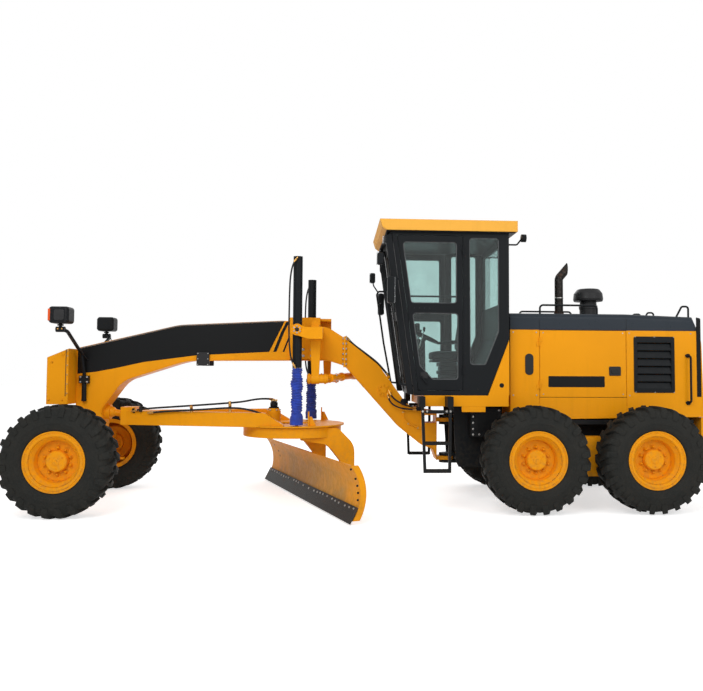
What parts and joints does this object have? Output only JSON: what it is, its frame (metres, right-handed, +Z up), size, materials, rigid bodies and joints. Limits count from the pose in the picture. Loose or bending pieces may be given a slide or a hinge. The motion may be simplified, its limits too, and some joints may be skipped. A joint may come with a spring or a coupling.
{
  "type": "motor grader",
  "caption": "Articulated motor grader with an arched front frame, leaning front wheels, tandem rear wheels, a cab and a curved blade that hangs from a turning circle.",
  "frame": {"origin": "on the ground under the middle of the machine's overall box", "axes": "+X forward along the machine, +Y to the operator's left, +Z up"},
  "size_m": [8.9098, 3.5042, 3.6898],
  "materials": {
    "yellow_paint": "satin",
    "roof_paint": "satin",
    "black_paint": "satin",
    "dark_steel": "matt",
    "tyre_rubber": "matt",
    "window_glass": "gloss",
    "blue_fabric": "matt",
    "worn_steel": "worn",
    "edge_steel": "worn",
    "chrome": "polished",
    "black_plastic": "matt"
  },
  "bodies": {
    "rear_body": {"rear_frame": "black_paint", "rear_axle": "dark_steel", "engine": "dark_steel", "hood": "yellow_paint", "grilles": "black_paint", "exhaust": "dark_steel", "precleaner": "black_plastic", "rear_bumper": "yellow_paint", "hood_sills": "black_paint", "hand_rails": "black_paint", "cab_frame": "black_paint", "cab_glass": "window_glass", "cab_roof": "roof_paint", "cab_base": "yellow_paint", "seat": "black_plastic", "console": "black_plastic", "ladders": "black_paint", "side_boxes": "black_paint"},
    "front_body": {"front_frame": "yellow_paint", "nose_block": "yellow_paint", "headlamps": "black_paint", "saddle": "yellow_paint", "shift_linkage": "yellow_paint", "shift_cylinder": "yellow_paint"},
    "engine_door_l": {"engine_door_l": "yellow_paint"},
    "engine_door_r": {"engine_door_r": "yellow_paint"},
    "cab_door_l": {"cab_door_l": "black_paint", "door_glass_l": "window_glass"},
    "cab_door_r": {"cab_door_r": "black_paint", "door_glass_r": "window_glass"},
    "tandem_l": {"tandem_l": "yellow_paint"},
    "tandem_r": {"tandem_r": "yellow_paint"},
    "front_axle": {"front_axle": "yellow_paint"},
    "lean_yoke_l": {"lean_yoke_l": "yellow_paint"},
    "lean_yoke_r": {"lean_yoke_r": "yellow_paint"},
    "knuckle_l": {"knuckle_l": "yellow_paint"},
    "knuckle_r": {"knuckle_r": "yellow_paint"},
    "drawbar": {"drawbar": "yellow_paint"},
    "circle": {"circle": "yellow_paint"},
    "blade_carrier": {"blade_carrier": "yellow_paint"},
    "blade": {"moldboard": "worn_steel", "cutting_edge": "edge_steel"},
    "lift_barrel_l": {"lift_barrel_l": "black_paint"},
    "lift_rod_l": {"lift_rod_l": "chrome", "lift_bellows_l": "blue_fabric"},
    "lift_barrel_r": {"lift_barrel_r": "black_paint"},
    "lift_rod_r": {"lift_rod_r": "chrome", "lift_bellows_r": "blue_fabric"},
    "wheel_front_l": {"tyre_front_l": "tyre_rubber", "rim_front_l": "yellow_paint"},
    "wheel_front_r": {"tyre_front_r": "tyre_rubber", "rim_front_r": "yellow_paint"},
    "wheel_mid_l": {"tyre_mid_l": "tyre_rubber", "rim_mid_l": "yellow_paint"},
    "wheel_mid_r": {"tyre_mid_r": "tyre_rubber", "rim_mid_r": "yellow_paint"},
    "wheel_rear_l": {"tyre_rear_l": "tyre_rubber", "rim_rear_l": "yellow_paint"},
    "wheel_rear_r": {"tyre_rear_r": "tyre_rubber", "rim_rear_r": "yellow_paint"}
  },
  "joints": [
    {"name": "articulation", "type": "hinge", "parent": "rear_body", "child": "front_body", "pos_m": [-1.01, 0, 0.8], "axis": [0, 0, 1], "range_deg": [-25, 25]},
    {"name": "engine_door_l_hinge", "type": "hinge", "parent": "rear_body", "child": "engine_door_l", "pos_m": [-2.153, 0.631, 1.86], "axis": [0, 0, -1], "range_deg": [0, 90]},
    {"name": "engine_door_r_hinge", "type": "hinge", "parent": "rear_body", "child": "engine_door_r", "pos_m": [-2.153, -0.631, 1.86], "axis": [0, 0, 1], "range_deg": [0, 90]},
    {"name": "cab_door_l_hinge", "type": "hinge", "parent": "rear_body", "child": "cab_door_l", "pos_m": [-1.107, 0.791, 2.5], "axis": [0, 0, 1], "range_deg": [0, 90]},
    {"name": "cab_door_r_hinge", "type": "hinge", "parent": "rear_body", "child": "cab_door_r", "pos_m": [-1.107, -0.791, 2.5], "axis": [0, 0, -1], "range_deg": [0, 90]},
    {"name": "tandem_l_rock", "type": "hinge", "parent": "rear_body", "child": "tandem_l", "pos_m": [-2.69, 0.64, 0.665], "axis": [0, 1, 0], "range_deg": [-15, 15]},
    {"name": "wheel_mid_l_spin", "type": "hinge", "parent": "tandem_l", "child": "wheel_mid_l", "pos_m": [-1.95, 1.0775, 0.665], "axis": [0, 1, 0], "continuous": true},
    {"name": "wheel_rear_l_spin", "type": "hinge", "parent": "tandem_l", "child": "wheel_rear_l", "pos_m": [-3.43, 1.0775, 0.665], "axis": [0, 1, 0], "continuous": true},
    {"name": "tandem_r_rock", "type": "hinge", "parent": "rear_body", "child": "tandem_r", "pos_m": [-2.69, -0.64, 0.665], "axis": [0, 1, 0], "range_deg": [-15, 15]},
    {"name": "wheel_mid_r_spin", "type": "hinge", "parent": "tandem_r", "child": "wheel_mid_r", "pos_m": [-1.95, -1.0775, 0.665], "axis": [0, 1, 0], "continuous": true},
    {"name": "wheel_rear_r_spin", "type": "hinge", "parent": "tandem_r", "child": "wheel_rear_r", "pos_m": [-3.43, -1.0775, 0.665], "axis": [0, 1, 0], "continuous": true},
    {"name": "axle_oscillation", "type": "hinge", "parent": "front_body", "child": "front_axle", "pos_m": [3.79, 0, 0.625], "axis": [1, 0, 0], "range_deg": [-15, 15]},
    {"name": "wheel_lean_l", "type": "hinge", "parent": "front_axle", "child": "lean_yoke_l", "pos_m": [3.79, 0.7, 0.62], "axis": [-1, 0, 0], "range_deg": [-17, 17]},
    {"name": "steer_l", "type": "hinge", "parent": "lean_yoke_l", "child": "knuckle_l", "pos_m": [3.79, 0.8, 0.65], "axis": [0, 0, 1], "range_deg": [-45, 45]},
    {"name": "wheel_front_l_spin", "type": "hinge", "parent": "knuckle_l", "child": "wheel_front_l", "pos_m": [3.79, 1.0775, 0.665], "axis": [0, 1, 0], "continuous": true},
    {"name": "wheel_lean_r", "type": "hinge", "parent": "front_axle", "child": "lean_yoke_r", "pos_m": [3.79, -0.7, 0.62], "axis": [-1, 0, 0], "range_deg": [-17, 17]},
    {"name": "steer_r", "type": "hinge", "parent": "lean_yoke_r", "child": "knuckle_r", "pos_m": [3.79, -0.8, 0.65], "axis": [0, 0, 1], "range_deg": [-45, 45]},
    {"name": "wheel_front_r_spin", "type": "hinge", "parent": "knuckle_r", "child": "wheel_front_r", "pos_m": [3.79, -1.0775, 0.665], "axis": [0, 1, 0], "continuous": true},
    {"name": "drawbar_pitch", "type": "hinge", "parent": "front_body", "child": "drawbar", "pos_m": [3.52, 0, 1.18], "axis": [0, 1, 0], "range_deg": [-10, 10]},
    {"name": "circle_turn", "type": "hinge", "parent": "drawbar", "child": "circle", "pos_m": [1.1, 0, 0.95], "axis": [0, 0, 1], "continuous": true},
    {"name": "blade_tilt", "type": "hinge", "parent": "circle", "child": "blade_carrier", "pos_m": [0.6501, -0.16731, 0.3], "axis": [-0.3486, 0.9373, 0], "range_deg": [-5, 35]},
    {"name": "blade_side_shift", "type": "slide", "parent": "blade_carrier", "child": "blade", "axis": [0.3486, -0.9373, 0], "range_m": [-0.6, 0.6]},
    {"name": "lift_barrel_l_swing", "type": "hinge", "parent": "front_body", "child": "lift_barrel_l", "pos_m": [1.015, 0.62, 2.27], "axis": [0, 1, 0], "range_deg": [-2, 2]},
    {"name": "lift_rod_l_slide", "type": "slide", "parent": "lift_barrel_l", "child": "lift_rod_l", "axis": [0, 0, 1], "range_m": [-0.46, 0.46], "deforming": ["lift_bellows_l"]},
    {"name": "lift_barrel_r_swing", "type": "hinge", "parent": "front_body", "child": "lift_barrel_r", "pos_m": [0.87, -0.62, 2.27], "axis": [0, 1, 0], "range_deg": [-2, 2]},
    {"name": "lift_rod_r_slide", "type": "slide", "parent": "lift_barrel_r", "child": "lift_rod_r", "axis": [0, 0, 1], "range_m": [-0.46, 0.46], "deforming": ["lift_bellows_r"]}
  ],
  "couplings": [
    {"joint": "wheel_lean_r", "follows": "wheel_lean_l", "ratio": 1},
    {"joint": "steer_r", "follows": "steer_l", "ratio": 1},
    {"joint": "lift_barrel_l_swing", "follows": "drawbar_pitch", "ratio": 0.09},
    {"joint": "lift_rod_l_slide", "follows": "drawbar_pitch", "m_per_rad": 2.49},
    {"joint": "lift_barrel_r_swing", "follows": "drawbar_pitch", "ratio": 0.09},
    {"joint": "lift_rod_r_slide", "follows": "drawbar_pitch", "m_per_rad": 2.634}
  ]
}
